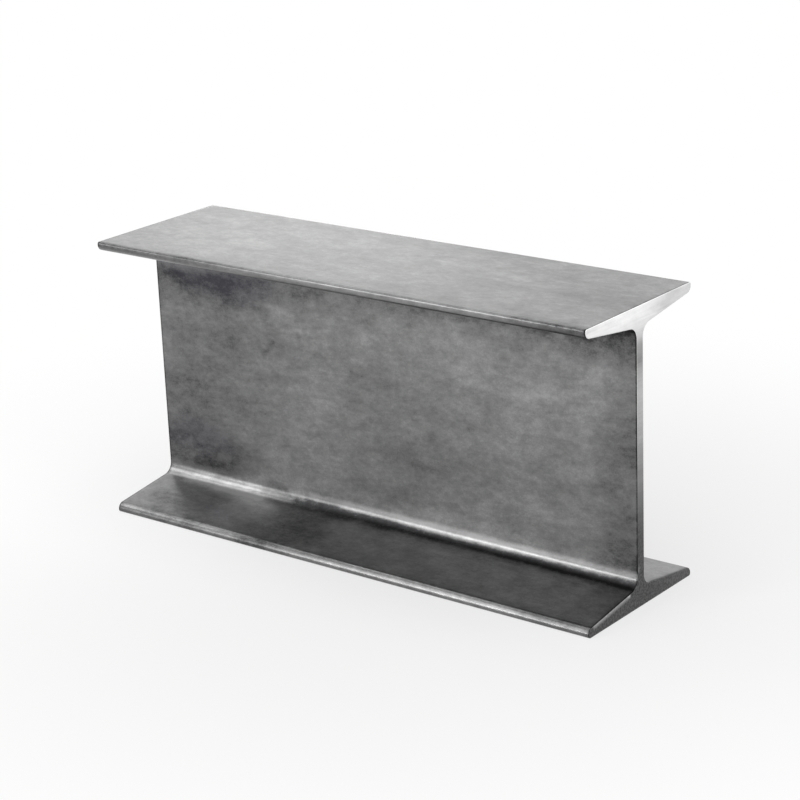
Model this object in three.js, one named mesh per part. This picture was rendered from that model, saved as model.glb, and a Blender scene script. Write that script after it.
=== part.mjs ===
// Short offcut of a rolled steel I-beam with tapered flanges, cut square at both ends.
// Millimetres, +Z up. X runs along the beam, Y across the flanges.
// The origin is under the middle of the lower flange, on the plane that the beam stands on.

import * as THREE from "three";

// ---- Driving dimensions ---------------------------------------------------------------

const beamDepth = 125; // over the outer faces of the flanges
const beamLength = 252; // between the two saw cuts
const flangeWidth = 75; // toe to toe
const webThickness = 4.4;
const flangeThickness = 6.5; // a quarter of the width in from the toe, where rolled stock is gauged
const flangeSlope = THREE.MathUtils.degToRad(8); // of the inner faces, off square with the web
const rootRadius = 5; // hollow fillet between the web and a flange's inner face
const toeRadius = 3; // rounded inner edge of each flange tip
const cornerRadius = 1; // slight rounding that the rolls leave on the outer edges

// ---- Fineness of the curves -----------------------------------------------------------

const rootSteps = 16;
const toeSteps = 10;
const cornerSteps = 4;

// ---- Section --------------------------------------------------------------------------

// A flange is drawn here by two lengths: how far out a point lies from the middle of the web,
// and how high it lies above the flange's outer face.

const halfWidth = flangeWidth / 2;
const halfWeb = webThickness / 2;
const gaugeLine = flangeWidth / 4;

// Height of the flange's sloped inner face.
function innerFaceHeight(out) {
  return flangeThickness + (gaugeLine - out) * Math.tan(flangeSlope);
}

// The rounded tip never reaches past the corner on the flange's outer face.
function fittedToeRadius() {
  const roomOnTip = innerFaceHeight(halfWidth) - cornerRadius;
  const tipHeightPerRadius = (1 - Math.sin(flangeSlope)) / Math.cos(flangeSlope);
  return Math.min(toeRadius, roomOnTip / tipHeightPerRadius);
}

// Points along an arc from one angle to another, both ends included.
function arcPoints({ centreOut, centreHeight, radius, from, to, steps }) {
  return Array.from({ length: steps + 1 }, (_, step) => {
    const angle = THREE.MathUtils.lerp(from, to, step / steps);
    const out = centreOut + radius * Math.cos(angle);
    const height = centreHeight + radius * Math.sin(angle);
    return new THREE.Vector2(out, height);
  });
}

function outerCorner() {
  return arcPoints({
    centreOut: halfWidth - cornerRadius,
    centreHeight: cornerRadius,
    radius: cornerRadius,
    from: -Math.PI / 2,
    to: 0,
    steps: cornerSteps,
  });
}

function roundedToe() {
  const radius = fittedToeRadius();
  const centreOut = halfWidth - radius;
  return arcPoints({
    centreOut,
    centreHeight: innerFaceHeight(centreOut) - radius / Math.cos(flangeSlope),
    radius,
    from: 0,
    to: Math.PI / 2 - flangeSlope,
    steps: toeSteps,
  });
}

function rootFillet() {
  const centreOut = halfWeb + rootRadius;
  return arcPoints({
    centreOut,
    centreHeight: innerFaceHeight(centreOut) + rootRadius / Math.cos(flangeSlope),
    radius: rootRadius,
    from: -Math.PI / 2 - flangeSlope,
    to: -Math.PI,
    steps: rootSteps,
  });
}

// The whole section: one quarter, mirrored up to the other flange and then across the web.
// Straight faces join the arcs and meet each of them on a tangent.
function beamSection() {
  const lower = [...outerCorner(), ...roundedToe(), ...rootFillet()];
  const upper = lower.map((point) => new THREE.Vector2(point.x, beamDepth - point.y)).reverse();
  const oneSide = [...lower, ...upper];
  const otherSide = oneSide.map((point) => new THREE.Vector2(-point.x, point.y)).reverse();
  return new THREE.Shape([...oneSide, ...otherSide]);
}

// ---- Beam -----------------------------------------------------------------------------

const hotRolledSteel = new THREE.MeshStandardMaterial({
  color: 0x85868a,
  roughness: 0.42,
  metalness: 1,
});

function rolledBeam() {
  const geometry = new THREE.ExtrudeGeometry(beamSection(), {
    depth: beamLength,
    bevelEnabled: false,
    steps: 1,
  });
  const beam = new THREE.Mesh(geometry, hotRolledSteel);
  beam.name = "rolled_beam";
  beam.rotation.set(Math.PI / 2, Math.PI / 2, 0); // lays the extrusion along X with the web upright
  beam.position.x = -beamLength / 2;
  return beam;
}

const offcut = new THREE.Group();
offcut.name = "steel_i_beam";
offcut.add(rolledBeam());

export default offcut;
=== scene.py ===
"""Rolled steel I-beam offcut: the finished beam, its stage, lights and camera, built around the frame."""

import math
from functools import partial

import bpy
from bpy.props import FloatProperty, FloatVectorProperty, IntProperty, PointerProperty, StringProperty
from mathutils import Matrix, Vector


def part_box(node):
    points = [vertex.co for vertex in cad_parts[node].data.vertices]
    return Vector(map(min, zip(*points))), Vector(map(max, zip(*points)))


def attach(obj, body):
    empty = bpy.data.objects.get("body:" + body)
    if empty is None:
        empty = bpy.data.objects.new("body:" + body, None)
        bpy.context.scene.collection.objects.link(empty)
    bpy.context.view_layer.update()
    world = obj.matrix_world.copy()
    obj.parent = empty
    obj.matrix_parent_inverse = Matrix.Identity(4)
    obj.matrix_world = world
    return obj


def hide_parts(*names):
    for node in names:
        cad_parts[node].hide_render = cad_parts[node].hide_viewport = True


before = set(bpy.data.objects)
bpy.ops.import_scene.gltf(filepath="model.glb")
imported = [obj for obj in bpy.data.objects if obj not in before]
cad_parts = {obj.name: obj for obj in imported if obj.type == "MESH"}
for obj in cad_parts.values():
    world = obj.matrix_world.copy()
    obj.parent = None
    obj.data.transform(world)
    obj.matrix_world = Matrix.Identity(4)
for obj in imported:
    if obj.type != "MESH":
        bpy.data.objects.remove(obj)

bl_info = {
    "name": "Rolled Beam Offcut",
    "version": (1, 0, 0),
    "blender": (4, 5, 0),
    "location": "3D View > Sidebar > Beam",
    "description": "Builds a sawn offcut of rolled steel I-beam, and a stage to show it on",
    "category": "Add Mesh",
}

MM = 0.001
BEAM_NODE = "rolled_beam"

beam_low, beam_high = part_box(BEAM_NODE)
BEAM_SIZE = beam_high - beam_low
BEAM_CENTRE = (beam_low + beam_high) / 2
HALF_LENGTH = BEAM_SIZE.x / 2
WEB_THICKNESS = 4.4 * MM
WEB_FRONT = -WEB_THICKNESS / 2

# The corners on each side of the section.
SIDE_CORNERS = 6

# How many times shorter the rolls' waves are across the beam than along it.
WAVES_ACROSS = 1.6

# How far lengthwise a face has to look to be a flat sawn cap, and to be sawn steel at all.
CAP_FACING = 0.999
SAWN_FACING = 0.3

# The numbers of a Mix node's two colours among its inputs.
MIX_FIRST, MIX_SECOND = 6, 7

# The width of the camera's sensor, in millimetres.
SENSOR_WIDTH = 36.0


# ---- Helpers ----------------------------------------------------------------------------


def linear(hex_colour):
    """Turns an sRGB hex colour such as "#8A8B8D" into linear red, green and blue, and an alpha of 1."""
    digits = hex_colour.lstrip("#")
    channels = [int(digits[at:at + 2], 16) / 255 for at in (0, 2, 4)]
    return (*(c / 12.92 if c <= 0.04045 else ((c + 0.055) / 1.055) ** 2.4 for c in channels), 1.0)


def direction(azimuth, elevation):
    """The way out from the beam, turned from straight in front towards the right end, and raised."""
    level = math.cos(elevation)
    return Vector((math.sin(azimuth) * level, -math.cos(azimuth) * level, math.sin(elevation)))


def add_node(tree, kind, inputs=(), **settings):
    """Adds a node with its settings, and gives its inputs their values or links.

    The inputs come in order, or in a dict by name or number. A node stands for its first live output."""
    node = tree.nodes.new(kind)
    for name, value in settings.items():
        setattr(node, name, value)
    for key, value in inputs.items() if isinstance(inputs, dict) else enumerate(inputs):
        if isinstance(value, bpy.types.Node):
            value = next(output for output in value.outputs if output.enabled)
        if isinstance(value, bpy.types.NodeSocket):
            tree.links.new(value, node.inputs[key])
        else:
            node.inputs[key].default_value = value
    return node


# ---- Settings ---------------------------------------------------------------------------


class BeamSectionSettings(bpy.types.PropertyGroup):
    """Sizes of the rolled section that the overall box doesn't give, and its surface relief."""

    web_thickness: FloatProperty(
        name="Web thickness", description="Plate between the flanges",
        default=WEB_THICKNESS, min=1 * MM, subtype="DISTANCE", unit="LENGTH")
    flange_thickness: FloatProperty(
        name="Flange thickness", description="Gauged a quarter of the width in from the toe",
        default=6.5 * MM, min=2 * MM, subtype="DISTANCE", unit="LENGTH")
    flange_slope: FloatProperty(
        name="Flange slope", description="Slope of the inner faces, off square with the web",
        default=math.radians(8), min=0, max=math.radians(15), subtype="ANGLE", unit="ROTATION")
    root_radius: FloatProperty(
        name="Root radius", description="Hollow fillet between web and flange",
        default=5 * MM, min=1 * MM, subtype="DISTANCE", unit="LENGTH")
    toe_radius: FloatProperty(
        name="Toe radius", description="Rounded inner edge of each flange tip",
        default=3 * MM, min=0.2 * MM, subtype="DISTANCE", unit="LENGTH")
    corner_radius: FloatProperty(
        name="Corner radius", description="Slight rounding of the outer edges",
        default=1 * MM, min=0.1 * MM, subtype="DISTANCE", unit="LENGTH")
    sawn_edge: FloatProperty(
        name="Sawn edge", description="Rounding where the saw cut's burr was broken off",
        default=0.45 * MM, min=0.05 * MM, subtype="DISTANCE", unit="LENGTH")
    wave_height: FloatProperty(
        name="Wave height", description="Depth of the long shallow waves that the rolls leave",
        default=0.06 * MM, min=0, subtype="DISTANCE", unit="LENGTH")
    wave_length: FloatProperty(
        name="Wave length", description="Distance between those waves along the beam",
        default=38 * MM, min=5 * MM, subtype="DISTANCE", unit="LENGTH")
    facet: FloatProperty(
        name="Facet", description="Longest step between points along the flats and the length",
        default=2 * MM, min=0.5 * MM, subtype="DISTANCE", unit="LENGTH")
    arc_points: IntProperty(
        name="Arc points", description="Points on each rounded corner of the section",
        default=20, min=3)
    edge_steps: IntProperty(
        name="Edge steps", description="Steps over each sawn edge", default=3, min=1)
    wave_seed: IntProperty(
        name="Wave seed", description="Picks where the waves fall", default=7)


class MillFinishSettings(bpy.types.PropertyGroup):
    """Colours and roughness of the rolled skin and of the sawn ends."""

    scale_black: StringProperty(
        name="Black scale", description="Specks in the thickest mill scale, as sRGB hex",
        default="#262627")
    scale_dark: StringProperty(
        name="Dark scale", description="The thickest mill scale, as sRGB hex",
        default="#353536")
    scale_thick: StringProperty(
        name="Thick scale", description="Mill scale in its darker clouds, as sRGB hex",
        default="#5D5D5D")
    scale_mid: StringProperty(
        name="Middle scale", description="The common tone of the rolled skin, as sRGB hex",
        default="#737373")
    scale_light: StringProperty(
        name="Light scale", description="Thin, rubbed scale, as sRGB hex",
        default="#9C9C9C")
    stain: StringProperty(
        name="Stain", description="Dark bluish patches on the web, as sRGB hex",
        default="#46454F")
    # Painted reflection in part: the saw cuts get this bright colour at the top, where they mirror the lit
    # floor.
    bright_steel: StringProperty(
        name="Bright steel", description="Clean metal at the top of the saw cuts, as sRGB hex",
        default="#EAEAEA")
    sawn_steel: StringProperty(
        name="Sawn steel", description="The saw cuts at the middle of the web, as sRGB hex",
        default="#BABABA")
    # Painted shade: the saw cuts get this dark colour at the foot, where they mirror the shadowed floor
    # beside the beam.
    shaded_foot_steel: StringProperty(
        name="Dulled steel", description="Stained metal at the foot of the saw cuts, as sRGB hex",
        default="#4F4F4F")
    skin_roughness: FloatProperty(
        name="Skin roughness", description="Roughness of the rolled skin, where its scale is even",
        default=0.3, min=0, max=1, subtype="FACTOR")
    sawn_roughness: FloatProperty(
        name="Sawn roughness", description="Roughness of the saw cuts",
        default=0.42, min=0, max=1, subtype="FACTOR")


class StageSettings(bpy.types.PropertyGroup):
    """The floor, the lights and the camera."""

    floor_colour: StringProperty(
        name="Floor colour", description="Pale paper floor, as sRGB hex", default="#F4F4F4")
    floor_size: FloatProperty(
        name="Floor size", description="Side of the square floor",
        default=8.0, subtype="DISTANCE", unit="LENGTH")
    floor_white: FloatProperty(
        name="Floor white", description="Share of plain white in the floor where the beam stands",
        default=0.62, min=0, max=1, subtype="FACTOR")
    shadow_reach: FloatProperty(
        name="Shadow reach", description="From the middle to where the floor is all plain white",
        default=0.36, subtype="DISTANCE", unit="LENGTH")
    camera_azimuth: FloatProperty(
        name="Camera azimuth", description="Turned from straight in front towards the right end",
        default=math.radians(38.38), subtype="ANGLE", unit="ROTATION")
    camera_elevation: FloatProperty(
        name="Camera elevation", description="Above the horizon",
        default=math.radians(18.746), subtype="ANGLE", unit="ROTATION")
    camera_roll: FloatProperty(
        name="Camera roll", description="Tilt of the camera about its own axis",
        default=math.radians(-2.267), subtype="ANGLE", unit="ROTATION")
    camera_distance: FloatProperty(
        name="Camera distance", description="From the middle of the beam, along the camera's axis",
        default=1.0, subtype="DISTANCE", unit="LENGTH")
    camera_offset: FloatVectorProperty(
        name="Camera offset", description="Sideways and upwards, in the camera's own plane",
        default=(5.9 * MM, 1.74 * MM), size=2, subtype="TRANSLATION", unit="LENGTH")
    camera_lens: FloatProperty(
        name="Camera lens", description="Focal length, on a sensor 36 mm wide",
        default=107.0, subtype="DISTANCE_CAMERA", unit="CAMERA")


# ---- The rolled section, as a node tree -------------------------------------------------


def section_corner_fields(tree, sizes):
    """Position and rounding of the twelve corners of the section, worked out from their index.

    Going round from the lower flange's right corner, the corners of each quarter are the outer
    corner (kind 0), the toe (1) and the root (2), and the next quarter has them in reverse."""
    node = partial(add_node, tree)
    index = node("GeometryNodeInputIndex")
    place = node("ShaderNodeMath", (index, SIDE_CORNERS), operation="MODULO")
    counted_back = node("ShaderNodeMath", (SIDE_CORNERS - 1, place), operation="SUBTRACT")
    kind = node("ShaderNodeMath", (place, counted_back), operation="MINIMUM")
    is_outer = node("ShaderNodeMath", (kind, 0.5), operation="LESS_THAN")
    is_root = node("ShaderNodeMath", (kind, 1.5), operation="GREATER_THAN")

    half_width = node("ShaderNodeMath", (sizes["Width"], 2.0), operation="DIVIDE")
    half_web = node("ShaderNodeMath", (sizes["Web thickness"], 2.0), operation="DIVIDE")
    out = node("GeometryNodeSwitch", (is_root, half_width, half_web), input_type="FLOAT")

    # The inner face slopes through the flange's thickness at the gauge line, half-way out.
    gauge_line = node("ShaderNodeMath", (sizes["Width"], 4.0), operation="DIVIDE")
    slope = node("ShaderNodeMath", (sizes["Flange slope"],), operation="TANGENT")
    inwards = node("ShaderNodeMath", (gauge_line, out), operation="SUBTRACT")
    inner_face = node(
        "ShaderNodeMath", (inwards, slope, sizes["Flange thickness"]), operation="MULTIPLY_ADD")
    height = node("GeometryNodeSwitch", (is_outer, inner_face, 0.0), input_type="FLOAT")
    inner_radius = node(
        "GeometryNodeSwitch", (is_root, sizes["Toe radius"], sizes["Root radius"]), input_type="FLOAT")
    radius = node(
        "GeometryNodeSwitch", (is_outer, inner_radius, sizes["Corner radius"]), input_type="FLOAT")

    # The right side comes first, so the top is the half of the corners about the change of side.
    change_of_side = SIDE_CORNERS - 0.5
    on_left = node("ShaderNodeMath", (index, change_of_side), operation="GREATER_THAN")
    side = node("ShaderNodeMath", (on_left, -2.0, 1.0), operation="MULTIPLY_ADD")
    across = node("ShaderNodeMath", (side, out), operation="MULTIPLY")
    from_middle = node("ShaderNodeMath", (index, change_of_side), operation="SUBTRACT")
    steps_away = node("ShaderNodeMath", (from_middle,), operation="ABSOLUTE")
    on_top = node("ShaderNodeMath", (steps_away, SIDE_CORNERS / 2), operation="LESS_THAN")
    from_top = node("ShaderNodeMath", (sizes["Depth"], height), operation="SUBTRACT")
    up = node("GeometryNodeSwitch", (on_top, height, from_top), input_type="FLOAT")
    return node("ShaderNodeCombineXYZ", (across, up)), radius


def section_curve(tree, sizes):
    """The closed section: twelve rounded corners, with the flats between them cut into facets."""
    node = partial(add_node, tree)
    position, radius = section_corner_fields(tree, sizes)
    ring = node("GeometryNodeMeshCircle", {"Vertices": 2 * SIDE_CORNERS})
    corners = node("GeometryNodeMeshToCurve", {"Mesh": ring})
    placed = node("GeometryNodeSetPosition", {"Geometry": corners, "Position": position})
    rounded = node("GeometryNodeFilletCurve", {
        "Curve": placed, "Count": sizes["Arc points"], "Radius": radius}, mode="POLY")
    here = node("GeometryNodeInputPosition")
    point = node("GeometryNodeInputIndex")
    following = node("GeometryNodeOffsetPointInCurve", {"Point Index": point, "Offset": 1}).outputs
    ahead = node(
        "GeometryNodeFieldAtIndex", {"Index": following["Point Index"], "Value": here},
        data_type="FLOAT_VECTOR")
    step = node("ShaderNodeVectorMath", (ahead, here), operation="DISTANCE")
    facets = node("ShaderNodeMath", (step, sizes["Facet"]), operation="DIVIDE")
    cuts = node("ShaderNodeMath", (facets,), operation="FLOOR")
    return node("GeometryNodeSubdivideCurve", {"Curve": rounded, "Cuts": cuts})


def station_fields(tree, sizes):
    """How many stations the beam has, with each one's place along it and how far it is drawn in.

    An arc of stations rounds each sawn edge, and the rest are evenly spaced between the two."""
    node = partial(add_node, tree)
    edge_steps = sizes["Edge steps"]
    facets = node("ShaderNodeMath", (sizes["Length"], sizes["Facet"]), operation="DIVIDE")
    spans = node("ShaderNodeMath", (facets,), operation="CEIL")
    last = node("ShaderNodeMath", (edge_steps, 2.0, spans), operation="MULTIPLY_ADD")
    count = node("ShaderNodeMath", (last, 1.0), operation="ADD")
    station = node("GeometryNodeInputIndex")
    to_last = node("ShaderNodeMath", (last, station), operation="SUBTRACT")
    to_end = node("ShaderNodeMath", (station, to_last), operation="MINIMUM")

    arc_share = node("ShaderNodeMath", (to_end, edge_steps), operation="DIVIDE")
    held_share = node("ShaderNodeMath", (arc_share, 1.0), operation="MINIMUM")
    angle = node("ShaderNodeMath", (held_share, math.pi / 2), operation="MULTIPLY")
    sine = node("ShaderNodeMath", (angle,), operation="SINE")
    cosine = node("ShaderNodeMath", (angle,), operation="COSINE")
    inset_share = node("ShaderNodeMath", (1.0, sine), operation="SUBTRACT")
    run_share = node("ShaderNodeMath", (1.0, cosine), operation="SUBTRACT")
    inset = node("ShaderNodeMath", (inset_share, sizes["Sawn edge"]), operation="MULTIPLY")
    edge_run = node("ShaderNodeMath", (run_share, sizes["Sawn edge"]), operation="MULTIPLY")

    plain_length = node(
        "ShaderNodeMath", (sizes["Sawn edge"], -2.0, sizes["Length"]), operation="MULTIPLY_ADD")
    plain_step = node("ShaderNodeMath", (plain_length, spans), operation="DIVIDE")
    beyond = node("ShaderNodeMath", (to_end, edge_steps), operation="SUBTRACT")
    past_edge = node("ShaderNodeMath", (beyond, 0.0), operation="MAXIMUM")
    from_end = node("ShaderNodeMath", (past_edge, plain_step, edge_run), operation="MULTIPLY_ADD")
    half_length = node("ShaderNodeMath", (sizes["Length"], 2.0), operation="DIVIDE")
    from_middle = node("ShaderNodeMath", (half_length, from_end), operation="SUBTRACT")
    middle = node("ShaderNodeMath", (last, 2.0), operation="DIVIDE")
    past_middle = node("ShaderNodeMath", (station, middle), operation="SUBTRACT")
    towards = node("ShaderNodeMath", (past_middle,), operation="SIGN")
    along = node("ShaderNodeMath", (towards, from_middle), operation="MULTIPLY")
    return count, along, inset


def build_beam_tree():
    """Sweeps the section along the beam, breaks the sawn edges and adds the rolls' shallow waves."""
    tree = bpy.data.node_groups.new("Rolled beam", "GeometryNodeTree")
    tree.interface.new_socket("Beam", in_out="OUTPUT", socket_type="NodeSocketGeometry")
    lengths = ("Length", "Depth", "Width", "Web thickness", "Flange thickness", "Root radius",
               "Toe radius", "Corner radius", "Sawn edge", "Wave height", "Wave length", "Facet")
    for name in (*lengths, "Flange slope"):
        tree.interface.new_socket(name, in_out="INPUT", socket_type="NodeSocketFloat")
    for name in ("Arc points", "Edge steps", "Seed"):
        tree.interface.new_socket(name, in_out="INPUT", socket_type="NodeSocketInt")
    for name in ("Rolled skin", "Sawn steel"):
        tree.interface.new_socket(name, in_out="INPUT", socket_type="NodeSocketMaterial")
    node = partial(add_node, tree)
    sizes = node("NodeGroupInput").outputs

    tangent = node("GeometryNodeInputTangent")
    outward = node("ShaderNodeVectorMath", (tangent, (0.0, 0.0, 1.0)), operation="CROSS_PRODUCT")
    here = node("GeometryNodeInputPosition")
    marked = node("GeometryNodeCaptureAttribute", {"Geometry": section_curve(tree, sizes)})
    marked.capture_items.new("VECTOR", "Place")
    marked.capture_items.new("VECTOR", "Outward")
    tree.links.new(here.outputs[0], marked.inputs["Place"])
    tree.links.new(outward.outputs[0], marked.inputs["Outward"])

    count, along, inset = station_fields(tree, sizes)
    path = node("GeometryNodeMeshLine", {"Count": count, "Offset": (MM, 0.0, 0.0)}, mode="OFFSET")
    stations = node("GeometryNodeMeshToCurve", {"Mesh": path})
    measured = node("GeometryNodeCaptureAttribute", {"Geometry": stations})
    measured.capture_items.new("FLOAT", "Along")
    measured.capture_items.new("FLOAT", "Inset")
    tree.links.new(along.outputs[0], measured.inputs["Along"])
    tree.links.new(inset.outputs[0], measured.inputs["Inset"])
    swept = node("GeometryNodeCurveToMesh", {"Curve": measured, "Profile Curve": marked, "Fill Caps": True})

    # Every vertex goes to its own place on the beam, so the sweep's own placing doesn't matter.
    across = node("ShaderNodeSeparateXYZ", (marked.outputs["Place"],)).outputs
    facing = node("ShaderNodeSeparateXYZ", (marked.outputs["Outward"],)).outputs
    exact = node("ShaderNodeCombineXYZ", (measured.outputs["Along"], across["X"], across["Y"]))
    normal = node("ShaderNodeCombineXYZ", (0.0, facing["X"], facing["Y"]))

    # The rolls' waves only sink into the steel, and they are shorter across the beam than along it.
    shortened = node(
        "ShaderNodeVectorMath", (exact, (1.0, WAVES_ACROSS, WAVES_ACROSS)), operation="MULTIPLY")
    per_metre = node("ShaderNodeMath", (1.0, sizes["Wave length"]), operation="DIVIDE")
    waves = node("ShaderNodeTexNoise", {
        "Vector": shortened, "W": sizes["Seed"], "Detail": 1.0, "Scale": per_metre}, noise_dimensions="4D")
    sunk = node("ShaderNodeMath", (waves, 1.0), operation="SUBTRACT")
    height = node("ShaderNodeMath", (sunk, sizes["Wave height"]), operation="MULTIPLY")
    lift = node("ShaderNodeMath", (height, measured.outputs["Inset"]), operation="SUBTRACT")
    offset = node("ShaderNodeVectorMath", {0: normal, "Scale": lift}, operation="SCALE")
    placed = node("GeometryNodeSetPosition", {"Geometry": swept, "Position": exact, "Offset": offset})

    # The flat caps and the broken edges round them are bare sawn steel.
    faces = node("ShaderNodeSeparateXYZ", (node("GeometryNodeInputNormal"),))
    lengthwise = node("ShaderNodeMath", (faces,), operation="ABSOLUTE")
    is_round = node("ShaderNodeMath", (lengthwise, CAP_FACING), operation="LESS_THAN")
    is_sawn = node("ShaderNodeMath", (lengthwise, SAWN_FACING), operation="GREATER_THAN")
    smooth = node("GeometryNodeSetShadeSmooth", {"Geometry": placed, "Shade Smooth": is_round})
    skinned = node("GeometryNodeSetMaterial", {"Geometry": smooth, "Material": sizes["Rolled skin"]})
    sawn = node("GeometryNodeSetMaterial", {
        "Geometry": skinned, "Selection": is_sawn, "Material": sizes["Sawn steel"]})
    node("NodeGroupOutput", (node("GeometryNodeRealizeInstances", {"Geometry": sawn}),))
    return tree


# ---- Materials --------------------------------------------------------------------------


class Surface:
    """The nodes of one metal finish: patterns sized in metres, and marks placed in millimetres."""

    # In half sizes of a cloud: where it starts to fade, where it has gone, and how far that is frayed.
    CLOUD_FULL = 0.5
    CLOUD_GONE = 2.1
    CLOUD_FRAYED = 1.6

    def __init__(self, name):
        self.material = bpy.data.materials.new(name)
        self.material.use_nodes = True
        self.material.node_tree.nodes.clear()
        self.node = partial(add_node, self.material.node_tree)
        self.place = self.node("ShaderNodeTexCoord").outputs["Object"]
        self.x, self.y, self.z = self.node("ShaderNodeSeparateXYZ", (self.place,)).outputs
        self.grain_way = self.place
        self.fraying = 0.0

    def lean(self, angle):
        """Turns the lengthwise way of the patterns up towards the right end."""
        self.grain_way = self.node(
            "ShaderNodeVectorRotate", {"Vector": self.place, "Angle": angle}, rotation_type="Y_AXIS")

    def pattern(self, feature, stretch=(1, 1, 1), detail=2.0, rough=0.5, seed=0.0):
        """Unevenness about 0 whose coarsest features have this size, drawn out by the stretch."""
        squeeze = [1 / along for along in stretch]
        drawn_out = self.node("ShaderNodeVectorMath", (self.grain_way, squeeze), operation="MULTIPLY")
        noise = self.node("ShaderNodeTexNoise", {
            "Vector": drawn_out, "W": seed, "Scale": 1 / feature, "Detail": detail, "Roughness": rough},
            noise_dimensions="4D")
        return self.node("ShaderNodeMath", (noise, 0.5), operation="SUBTRACT")

    def cloud(self, centre, size):
        """1 in the middle of a cloud with frayed edges, and 0 outside it."""
        middle = [along * MM for along in centre]
        halves_per_metre = [2 / (across * MM) for across in size]
        from_middle = self.node("ShaderNodeVectorMath", (self.place, middle), operation="SUBTRACT")
        in_halves = self.node("ShaderNodeVectorMath", (from_middle, halves_per_metre), operation="MULTIPLY")
        distance = self.node("ShaderNodeVectorMath", (in_halves,), operation="LENGTH")
        frayed = self.node(
            "ShaderNodeMath", (self.fraying, self.CLOUD_FRAYED, distance), operation="MULTIPLY_ADD")
        return self.node(
            "ShaderNodeMapRange", (frayed, self.CLOUD_GONE, self.CLOUD_FULL),
            interpolation_type="SMOOTHSTEP")

    def web_cloud(self, along, up, length, height):
        """A cloud on the front of the web."""
        return self.cloud((along, WEB_FRONT / MM, up), (length, WEB_THICKNESS / MM, height))

    def scrape(self, start, end, width):
        """1 along a straight mark between two places, and 0 beyond its width to either side."""
        first = Vector(start) * MM
        run = Vector(end) * MM - first
        per_run = run / run.length_squared
        offset = self.node("ShaderNodeVectorMath", (self.place, first), operation="SUBTRACT")
        share = self.node("ShaderNodeVectorMath", (offset, per_run), operation="DOT_PRODUCT")
        held = self.node("ShaderNodeClamp", {"Value": share})
        nearest = self.node("ShaderNodeVectorMath", {0: run, "Scale": held}, operation="SCALE")
        distance = self.node("ShaderNodeVectorMath", (offset, nearest), operation="DISTANCE")
        return self.node("ShaderNodeMapRange", (distance, width * MM, 0.0), interpolation_type="SMOOTHSTEP")

    def web_scrape(self, start, end, width):
        """A straight mark on the front of the web, from and to a place along it and up it."""
        front = WEB_FRONT / MM
        return self.scrape((start[0], front, start[1]), (end[0], front, end[1]), width)

    def total(self, *weighted):
        """The sum of patterns, each given with its weight."""
        result = 0.0
        for value, weight in weighted:
            result = self.node("ShaderNodeMath", (value, weight, result), operation="MULTIPLY_ADD")
        return result

    def finish(self, **inputs):
        """Ends the material in a metal with these inputs."""
        named = {key.replace("_", " ").title(): value for key, value in inputs.items()}
        shader = self.node("ShaderNodeBsdfPrincipled", {"Metallic": 1.0, **named})
        self.node("ShaderNodeOutputMaterial", {"Surface": shader})
        return self.material


def darker_scale_and_shade(skin):
    """Where the skin is darker, from thicker scale and from painted shade, and by how much."""
    return skin.total(
        # Painted shade under the upper flange, with some thicker scale, heaviest at the two ends.
        (skin.web_cloud(-101, 104, 88, 18), 0.24),
        (skin.web_cloud(-94, 91, 66, 24), 0.15),
        (skin.web_cloud(-103, 106, 34, 9), 0.12),
        (skin.web_cloud(-26, 100, 26, 22), 0.12),
        (skin.web_cloud(35, 112, 230, 18), 0.12),
        (skin.web_cloud(62, 114, 150, 9), 0.20),
        (skin.web_cloud(54, 111, 46, 8), 0.10),
        (skin.web_scrape((98, 118), (126, 118), 15), 0.30),
        (skin.web_scrape((98, 107), (126, 105), 10), 0.21),
        # Lower on the web: at the left end, in the middle and at the right end.
        (skin.web_cloud(-104, 51, 44, 9), 0.09),
        (skin.web_cloud(-106, 46, 60, 46), 0.15),
        (skin.web_cloud(-112, 22, 42, 18), 0.27),
        (skin.web_cloud(8, 52, 50, 46), 0.08),
        (skin.web_cloud(106, 17, 50, 9), 0.12),
        (skin.web_cloud(121, 46, 18, 84), 0.20),
        # On the lower flange: painted shade on its near half left of the middle and along the root below the
        # fillet's highlight, and darker scale at the near half's right end and on its far half.
        (skin.cloud((-97, -17, 8), (32, 34, 14)), 0.36),
        (skin.cloud((-40, -24, 7), (36, 36, 12)), 0.38),
        (skin.cloud((-12, -29, 6), (34, 12, 8)), 0.13),
        (skin.cloud((120, -20, 6.5), (18, 20, 8)), 0.16),
        (skin.cloud((50, -7.6, 8.6), (190, 6, 4.4)), 0.23),
        (skin.cloud((112, 7, 8), (56, 11, 8)), 0.12),
        # Painted shade in the hollow of the lower fillet below its highlight, from a dark patch a quarter of
        # the way along it on, which breaks the highlight there.
        (skin.scrape((-54, -4, 9.6), (126, -4, 9.6), 3.2), 0.42),
        (skin.cloud((-60, -3.2, 10.6), (19, 6, 7)), 0.46),
        (skin.cloud((-20, -4, 9.4), (52, 6, 5)), 0.2),
        # Painted shade on the near toes, which dims their highlights towards the ends.
        (skin.cloud((120, -37, 122), (36, 5, 9)), 0.38),
        (skin.cloud((-104, -37.5, 124.6), (90, 3, 3)), 0.28),
        (skin.cloud((-121, -37.5, 124.8), (14, 3, 2.4)), 0.18),
        (skin.cloud((-100, -37, 3), (92, 7, 6)), 0.22),
        (skin.cloud((120, -37, 3), (40, 7, 6)), 0.19),
        # Along the two edges of the top.
        (skin.cloud((-60, 34, 125), (150, 16, 12)), 0.09),
        (skin.cloud((66, -34, 125), (160, 10, 4)), 0.09))


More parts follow.
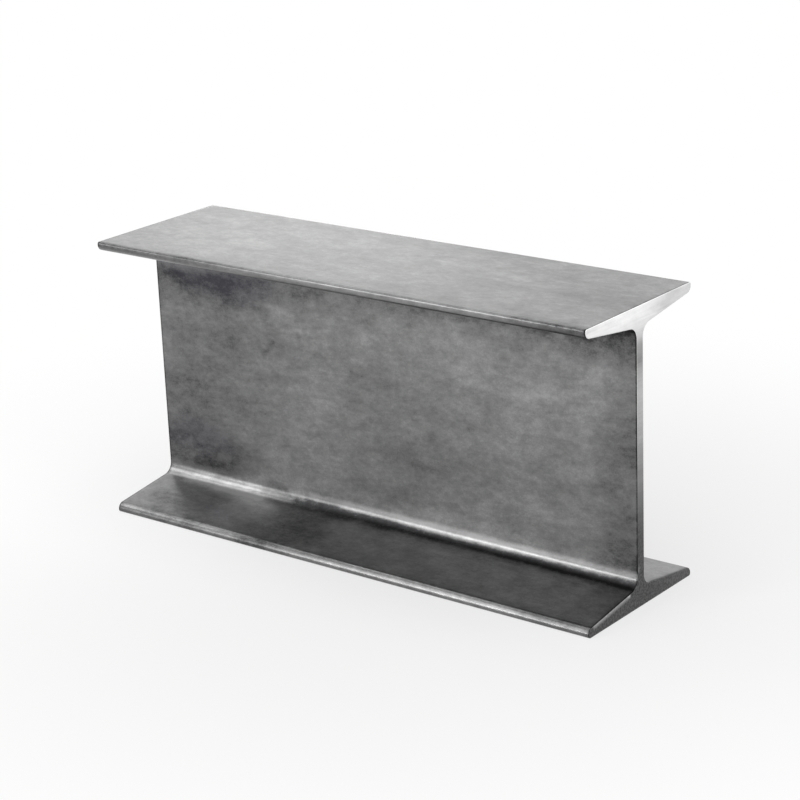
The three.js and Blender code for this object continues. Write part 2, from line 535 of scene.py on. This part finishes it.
def lighter_scale_and_highlights(skin):
    """Where the skin is lighter, from thinner scale and from painted highlights and sheen, and by how much.
    """
    return skin.total(
        # On the web.
        (skin.web_cloud(-108, 111.5, 36, 8), 0.28),
        (skin.web_cloud(-56, 98, 34, 9), 0.09),
        (skin.web_cloud(40, 83, 90, 26), 0.03),
        (skin.web_cloud(98, 79, 50, 18), 0.07),
        # Painted sheen on the top, at its left end and at the far side of its right end.
        (skin.cloud((-96, -7, 125), (70, 26, 12)), 0.07),
        (skin.cloud((104, 32, 125), (60, 18, 12)), 0.12),
        # Painted light on the lower flange: at its left end, where light comes in past the end of the upper
        # flange, and on its far half at the right end.
        (skin.cloud((-76, -12, 9), (44, 22, 12)), 0.25),
        (skin.cloud((-66, -16, 9), (20, 34, 12)), 0.12),
        (skin.cloud((-74, -9, 8.4), (34, 6, 4)), 0.22),
        (skin.cloud((112, 28, 7), (50, 26, 12)), 0.08),
        # Painted highlight in the lower fillet: where it runs out into the web from a quarter of the way
        # along, and at its left end, where it spreads onto the flange.
        (skin.scrape((-54, -2.3, 13.2), (126, -2.3, 13.5), 2.4), 0.24),
        (skin.scrape((-42, -2.3, 13.4), (126, -2.3, 13.5), 2.4), 0.22),
        (skin.scrape((-112, -6.6, 8.4), (-68, -6.6, 8.4), 3.6), 0.42),
        (skin.cloud((-108, -3.2, 10.5), (38, 5, 6)), 0.32),
        # Painted highlight on the upper near toe.
        (skin.cloud((18, -37.5, 123.4), (150, 2, 1.4)), 0.18),
        (skin.cloud((63, -37.5, 122.4), (110, 2, 1.8)), 0.17))


def handling_marks_and_shade(skin):
    """Rubs, which are lighter than the scale round them, and scuffs, which are darker, with painted shade in
    the hollow of the lower fillet.
    """
    return skin.total(
        (skin.web_scrape((-68, 96.6), (-56, 97.2), 1.8), 0.12),
        (skin.web_scrape((-54, 87.4), (-39, 88.4), 1.6), 0.08),
        (skin.web_scrape((-39, 89.6), (-26, 91), 1.4), 0.10),
        (skin.web_scrape((-78, 66.5), (-70, 67.6), 1.8), 0.10),
        (skin.web_scrape((67, 79), (86, 82), 3.0), 0.08),
        (skin.web_scrape((94, 89), (110, 91.5), 1.6), 0.10),
        (skin.web_scrape((-65, 74), (-59.5, 80.5), 2.4), -0.15),
        (skin.web_scrape((-16, 74.3), (-10, 73.4), 1.7), -0.13),
        (skin.web_scrape((-37, 79), (-33, 79.3), 2.6), -0.14),
        (skin.web_scrape((-45, 87), (-44.5, 84), 2.2), -0.12),
        # Painted shade in the hollow of the lower fillet, below its highlight.
        (skin.scrape((-50, -3.6, 9.8), (126, -3.6, 9.8), 2.7), -0.2))


def rolled_skin_material(finish):
    """Hot-rolled mill scale on steel: a satin, cloudy grey skin with faint lengthwise streaks, and painted
    highlights and shade in places.
    """
    skin = Surface("hot_rolled_mill_scale")
    rise_to_the_right = math.radians(6)
    skin.lean(rise_to_the_right)

    # Scale is thicker and thinner in clouds of every size, down to a grain of under a millimetre.
    clouds = skin.pattern(30 * MM, (3, 1, 1), detail=1.0, rough=0.78, seed=3.0)
    mottle = skin.pattern(7 * MM, (1.65, 1, 1), detail=4.0, rough=0.9, seed=4.0)
    drawn = skin.pattern(2 * MM, (8, 1, 1), detail=3.0, rough=0.7, seed=6.0)
    streaks = skin.pattern(1.2 * MM, (24, 1, 1), seed=1.0)
    grain = skin.pattern(0.7 * MM, seed=2.0)
    skin.fraying = skin.pattern(14 * MM, (1.4, 1, 1), detail=3.0, seed=5.0)
    patchy = skin.total(
        (clouds, 0.232), (mottle, 0.824), (drawn, 0.072), (streaks, 0.064), (grain, 0.176))

    # The clouds are a little stronger on the top face, and the saw's heat darkened a rim at each end.
    top_strength = 1.14
    top = BEAM_SIZE.z
    on_top = skin.node(
        "ShaderNodeMapRange", (skin.z, top - 1 * MM, top - 0.2 * MM, 1.0, top_strength),
        interpolation_type="SMOOTHSTEP")
    from_middle = skin.node("ShaderNodeMath", (skin.x,), operation="ABSOLUTE")
    burnt = skin.node(
        "ShaderNodeMapRange", (from_middle, HALF_LENGTH - 1.2 * MM, HALF_LENGTH - 0.5 * MM),
        interpolation_type="SMOOTHSTEP")

    # Thicker scale and painted shade darken the tone only so far, where their clouds overlap.
    limit, easing = 0.44, 0.12
    thickest = skin.node("ShaderNodeMath", (darker_scale_and_shade(skin), limit, easing), operation="SMOOTH_MIN")
    common_tone = 0.6
    placed_strength = 0.8
    tone = skin.total(
        (patchy, on_top), (lighter_scale_and_highlights(skin), placed_strength), (thickest, -placed_strength),
        (handling_marks_and_shade(skin), placed_strength), (burnt, -0.24), (common_tone, 1.0))
    colours = skin.node("ShaderNodeValToRGB", (tone,))
    stops = colours.color_ramp.elements
    stops[0].color = linear(finish.scale_black)
    stops[1].color = linear(finish.scale_light)
    stops.new(0.2).color = linear(finish.scale_dark)
    stops.new(0.4).color = linear(finish.scale_thick)
    stops.new(common_tone).color = linear(finish.scale_mid)

    # Two bluish stains, above and below at the left of the web.
    blue = skin.total((skin.web_cloud(-89, 105, 46, 15), 0.3), (skin.web_cloud(-107, 29, 32, 13), 0.3))
    stained = skin.node("ShaderNodeMix", {
        "Factor": blue, MIX_FIRST: colours, MIX_SECOND: linear(finish.stain)}, data_type="RGBA")
    roughness_swing = 0.12
    rough = skin.node(
        "ShaderNodeMath", (clouds, roughness_swing, finish.skin_roughness), operation="MULTIPLY_ADD")
    bump = skin.node("ShaderNodeBump", {
        "Height": skin.total((grain, 1.0), (streaks, 0.3)), "Strength": 0.15, "Distance": 0.01 * MM})
    return skin.finish(base_color=stained, roughness=rough, normal=bump)


def sawn_steel_material(finish):
    """Bare mild steel cut by a band saw: fine lines, with painted reflection that makes it bright at the top
    and dark lower down.
    """
    cut = Surface("band_sawn_steel")
    lines = cut.pattern(0.8 * MM, (1, 20, 1))
    patches = cut.pattern(7 * MM, (1, 1.5, 1), detail=4.0, rough=0.65, seed=1.0)
    rust = cut.pattern(1.0 * MM, seed=2.0)
    risen = cut.node("ShaderNodeMath", (cut.z, BEAM_SIZE.z), operation="DIVIDE")

    # Painted reflection and shade: the colour goes from dark at the foot, through plain in the web, to
    # bright at the top, as the cut mirrors the shadowed floor beside the beam low down and the lit
    # floor further off higher up. The heights are shares of the beam's depth.
    up_web = cut.node("ShaderNodeMapRange", (risen, 0.18, 0.8), interpolation_type="SMOOTHSTEP")
    up_top = cut.node("ShaderNodeMapRange", (risen, 0.84, 0.98), interpolation_type="SMOOTHSTEP")
    lower_cut = cut.node("ShaderNodeMix", {
        "Factor": up_web, MIX_FIRST: linear(finish.shaded_foot_steel), MIX_SECOND: linear(finish.sawn_steel)},
        data_type="RGBA")
    colour = cut.node("ShaderNodeMix", {
        "Factor": up_top, MIX_FIRST: lower_cut, MIX_SECOND: linear(finish.bright_steel)},
        data_type="RGBA")

    # Brighter: the broken edges, and two lines at the right end, along the top of the lower flange's cut and
    # up into its near fillet.
    from_middle = cut.node("ShaderNodeMath", (cut.x,), operation="ABSOLUTE")
    rubbed = cut.node(
        "ShaderNodeMapRange", (from_middle, HALF_LENGTH - 0.02 * MM, HALF_LENGTH - 0.2 * MM),
        interpolation_type="SMOOTHSTEP")
    end = HALF_LENGTH / MM
    bright_rim_lines = cut.total(
        (cut.scrape((end, -34, 3.9), (end, -9, 7.4), 1.6), 1.0),
        (cut.scrape((end, -9, 7.4), (end, -1.6, 17), 1.2), 0.6))

    # Salt and pepper from the first rust, low down, where the far side is a little lighter.
    low_down = cut.node("ShaderNodeMapRange", (risen, 0.4, 0.1), interpolation_type="SMOOTHSTEP")
    specks = cut.node(
        "ShaderNodeMapRange", (rust, -0.1, 0.1, -0.5, 0.5), interpolation_type="SMOOTHSTEP")
    low_specks = cut.node("ShaderNodeMath", (low_down, specks), operation="MULTIPLY")
    far_side = cut.node(
        "ShaderNodeMapRange", (cut.y, 4 * MM, 40 * MM), interpolation_type="SMOOTHSTEP")
    low_far_side = cut.node("ShaderNodeMath", (low_down, far_side), operation="MULTIPLY")

    # Darker: a band across the top of the web, the far half of the top flange, and the left end towards its
    # top, where the painted brightness is toned down.
    band_height = 105 * MM
    above_band = cut.node("ShaderNodeMath", (cut.z, band_height), operation="SUBTRACT")
    from_band = cut.node("ShaderNodeMath", (above_band,), operation="ABSOLUTE")
    band = cut.node("ShaderNodeMapRange", (from_band, 12 * MM, 2 * MM), interpolation_type="SMOOTHSTEP")
    on_top_flange = cut.node(
        "ShaderNodeMapRange", (risen, 0.86, 0.92), interpolation_type="SMOOTHSTEP")
    far_half = cut.node(
        "ShaderNodeMapRange", (cut.y, 4 * MM, 22 * MM), interpolation_type="SMOOTHSTEP")
    far_top = cut.node("ShaderNodeMath", (on_top_flange, far_half), operation="MULTIPLY")
    on_left = cut.node("ShaderNodeMath", (cut.x, 0.0), operation="LESS_THAN")
    left_end = cut.node("ShaderNodeMath", (on_left, risen), operation="MULTIPLY")
    unworn = 1.0
    worn = cut.total(
        (patches, 0.5), (lines, 0.25), (low_specks, 0.7), (rubbed, 0.5), (bright_rim_lines, 2.3),
        (low_far_side, 0.32), (band, -0.38), (far_top, -0.24), (left_end, -0.5), (unworn, 1.0))
    toned = cut.node("ShaderNodeVectorMath", {0: colour, "Scale": worn}, operation="SCALE")
    bump = cut.node("ShaderNodeBump", {"Height": lines, "Strength": 0.3, "Distance": 0.03 * MM})
    return cut.finish(base_color=toned, roughness=finish.sawn_roughness, normal=bump)


def seen_directly(tree):
    """1 for what is seen straight, mirrored or through glass, and 0 for the light that falls."""
    path = add_node(tree, "ShaderNodeLightPath").outputs
    seen = add_node(
        tree, "ShaderNodeMath", (path["Is Camera Ray"], path["Is Glossy Ray"]), operation="MAXIMUM")
    return add_node(tree, "ShaderNodeMath", (seen, path["Is Transmission Ray"]), operation="MAXIMUM")


def paper_floor_material(stage):
    """White paper: matt near the beam, where it takes the shadow, and pure white further out."""
    material = bpy.data.materials.new("white_paper")
    material.use_nodes = True
    tree = material.node_tree
    tree.nodes.clear()
    node = partial(add_node, tree)
    place = node("ShaderNodeTexCoord").outputs["Object"]
    far = node("ShaderNodeVectorMath", (place,), operation="LENGTH")
    whiter = node(
        "ShaderNodeMapRange", (far, 0.0, stage.shadow_reach, stage.floor_white, 1.0),
        interpolation_type="SMOOTHSTEP")
    share = node("ShaderNodeMath", (whiter, seen_directly(tree)), operation="MULTIPLY")
    paper = node("ShaderNodeBsdfDiffuse", {"Color": linear(stage.floor_colour)})
    white = node("ShaderNodeEmission", {"Color": (1, 1, 1, 1), "Strength": 1.0})
    node("ShaderNodeOutputMaterial", {"Surface": node("ShaderNodeMixShader", (share, paper, white))})
    return material


# ---- Operators --------------------------------------------------------------------------


class BEAM_OT_rolled_beam(bpy.types.Operator):
    """Build the beam with its rounded section, broken sawn edges and mill finish"""

    bl_idname = "beam.rolled_beam"
    bl_label = "Rolled Beam"

    def execute(self, context):
        section = context.scene.beam_section
        finish = context.scene.beam_finish
        tree = build_beam_tree()
        values = {
            "Length": BEAM_SIZE.x, "Width": BEAM_SIZE.y, "Depth": BEAM_SIZE.z,
            "Web thickness": section.web_thickness, "Flange thickness": section.flange_thickness,
            "Flange slope": section.flange_slope, "Root radius": section.root_radius,
            "Toe radius": section.toe_radius, "Corner radius": section.corner_radius,
            "Sawn edge": section.sawn_edge, "Wave height": section.wave_height,
            "Wave length": section.wave_length, "Facet": section.facet,
            "Arc points": section.arc_points, "Edge steps": section.edge_steps, "Seed": section.wave_seed,
            "Rolled skin": rolled_skin_material(finish), "Sawn steel": sawn_steel_material(finish),
        }
        holder = bpy.data.objects.new("sweep", bpy.data.meshes.new("sweep"))
        context.collection.objects.link(holder)
        sweep = holder.modifiers.new("Rolled beam", "NODES")
        sweep.node_group = tree
        for item in tree.interface.items_tree:
            if item.in_out == "INPUT":
                sweep[item.identifier] = values[item.name]
        evaluated = holder.evaluated_get(context.evaluated_depsgraph_get())
        mesh = bpy.data.meshes.new_from_object(evaluated)
        mesh.name = "rolled_beam_skin"
        bpy.data.objects.remove(holder)
        beam = bpy.data.objects.new("rolled_beam_skin", mesh)
        context.collection.objects.link(beam)
        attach(beam, "root")
        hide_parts(BEAM_NODE)
        return {"FINISHED"}


class BEAM_OT_stage(bpy.types.Operator):
    """Lay the floor, hang the lights and place the camera"""

    bl_idname = "beam.stage"
    bl_label = "Stage"

    def execute(self, context):
        stage = context.scene.beam_stage
        self.lay_floor(context, stage)
        self.light(context)
        self.place_camera(context, stage)
        context.scene.view_settings.view_transform = "Standard"
        return {"FINISHED"}

    def lay_floor(self, context, stage):
        """A square of white paper, level with the foot of the beam."""
        half = stage.floor_size / 2
        corners = [(-half, -half, 0), (half, -half, 0), (half, half, 0), (-half, half, 0)]
        mesh = bpy.data.meshes.new("paper_floor")
        mesh.from_pydata(corners, [], [(0, 1, 2, 3)])
        mesh.materials.append(paper_floor_material(stage))
        floor = bpy.data.objects.new("paper_floor", mesh)
        context.collection.objects.link(floor)

    def light(self, context):
        """A white studio, which is seen straight or mirrored, and the softboxes that light the beam."""
        world = bpy.data.worlds.new("white_studio")
        world.use_nodes = True
        tree = world.node_tree
        tree.nodes.clear()
        air = add_node(tree, "ShaderNodeBackground", {
            "Color": (1, 1, 1, 1), "Strength": seen_directly(tree)})
        add_node(tree, "ShaderNodeOutputWorld", {"Surface": air})
        context.scene.world = world

        left_end_of_fillet = Vector((-118 * MM, -4 * MM, 11 * MM))
        softbox = partial(self.softbox, context)
        softbox("overhead", 60, 74, width=0.9, brightness=2.6)
        softbox("right_low", 130, 8, width=0.4, brightness=0.8)
        softbox("left_high", -95, 53, width=0.6, brightness=2.0)
        softbox("front_low", -20, 0, width=0.48, brightness=11.6, height=0.12)
        softbox("front_left", -27, 20, width=0.5, brightness=2.5)
        softbox("front_middle", -30, 38, width=0.4, brightness=1.6)
        softbox("front_floor", -36, 5, width=0.32, brightness=3.5)
        softbox("near_left", -53, 37, width=0.1, brightness=4.2, distance=0.2, aim=left_end_of_fillet)
        softbox("back_low", -140, 6, width=0.32, brightness=2.7)
        softbox("back_left", -125, 22, width=0.32, brightness=0.65)
        softbox("back_middle", -154, 38, width=0.32, brightness=1.9)

    def softbox(self, context, name, azimuth, elevation, width, brightness, height=None, distance=1.0,
                aim=BEAM_CENTRE):
        """A round or oval softbox facing its aim.

        Its angles are in degrees, from the same origins as the camera's. A brightness of 1 is paper white."""
        height = height or width
        towards = direction(math.radians(azimuth), math.radians(elevation))
        lamp = bpy.data.lights.new(name, "AREA")
        lamp.shape = "ELLIPSE"
        lamp.size = width
        lamp.size_y = height
        lamp.energy = math.pi * (math.pi / 4 * width * height) * brightness
        box = bpy.data.objects.new(name, lamp)
        box.location = aim + towards * distance
        box.rotation_euler = towards.to_track_quat("Z", "Y").to_euler()
        box.visible_camera = False
        context.collection.objects.link(box)

    def place_camera(self, context, stage):
        """The camera at its distance, rolled and moved sideways in its own plane."""
        back = direction(stage.camera_azimuth, stage.camera_elevation)
        right = (-back).cross(Vector((0, 0, 1))).normalized()
        up = back.cross(right)
        cosine, sine = math.cos(stage.camera_roll), math.sin(stage.camera_roll)
        turned_right = right * cosine + up * sine
        turned_up = up * cosine - right * sine
        across, upwards = stage.camera_offset
        spot = BEAM_CENTRE + back * stage.camera_distance + turned_right * across + turned_up * upwards
        lens = bpy.data.cameras.new("camera")
        lens.lens = stage.camera_lens
        lens.sensor_width = SENSOR_WIDTH
        camera = bpy.data.objects.new("camera", lens)
        camera.matrix_world = Matrix.Translation(spot) @ Matrix(
            (turned_right, turned_up, back)).transposed().to_4x4()
        context.collection.objects.link(camera)
        context.scene.camera = camera


class BEAM_PT_sidebar(bpy.types.Panel):
    """Lists the settings and the pieces they build"""

    bl_label = "Rolled Beam Offcut"
    bl_space_type = "VIEW_3D"
    bl_region_type = "UI"
    bl_category = "Beam"

    def draw(self, context):
        for name in ("beam_section", "beam_finish", "beam_stage"):
            settings = getattr(context.scene, name)
            box = self.layout.box()
            for setting in type(settings).__annotations__:
                box.prop(settings, setting)
        for operator in (BEAM_OT_rolled_beam, BEAM_OT_stage):
            self.layout.operator(operator.bl_idname)


CLASSES = (
    BeamSectionSettings, MillFinishSettings, StageSettings,
    BEAM_OT_rolled_beam, BEAM_OT_stage, BEAM_PT_sidebar,
)


def register():
    for cls in CLASSES:
        bpy.utils.register_class(cls)
    bpy.types.Scene.beam_section = PointerProperty(type=BeamSectionSettings)
    bpy.types.Scene.beam_finish = PointerProperty(type=MillFinishSettings)
    bpy.types.Scene.beam_stage = PointerProperty(type=StageSettings)


def unregister():
    del bpy.types.Scene.beam_stage
    del bpy.types.Scene.beam_finish
    del bpy.types.Scene.beam_section
    for cls in reversed(CLASSES):
        bpy.utils.unregister_class(cls)


def main():
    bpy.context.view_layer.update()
    register()
    bpy.ops.beam.rolled_beam()
    bpy.ops.beam.stage()


if __name__ == "__main__":
    main()
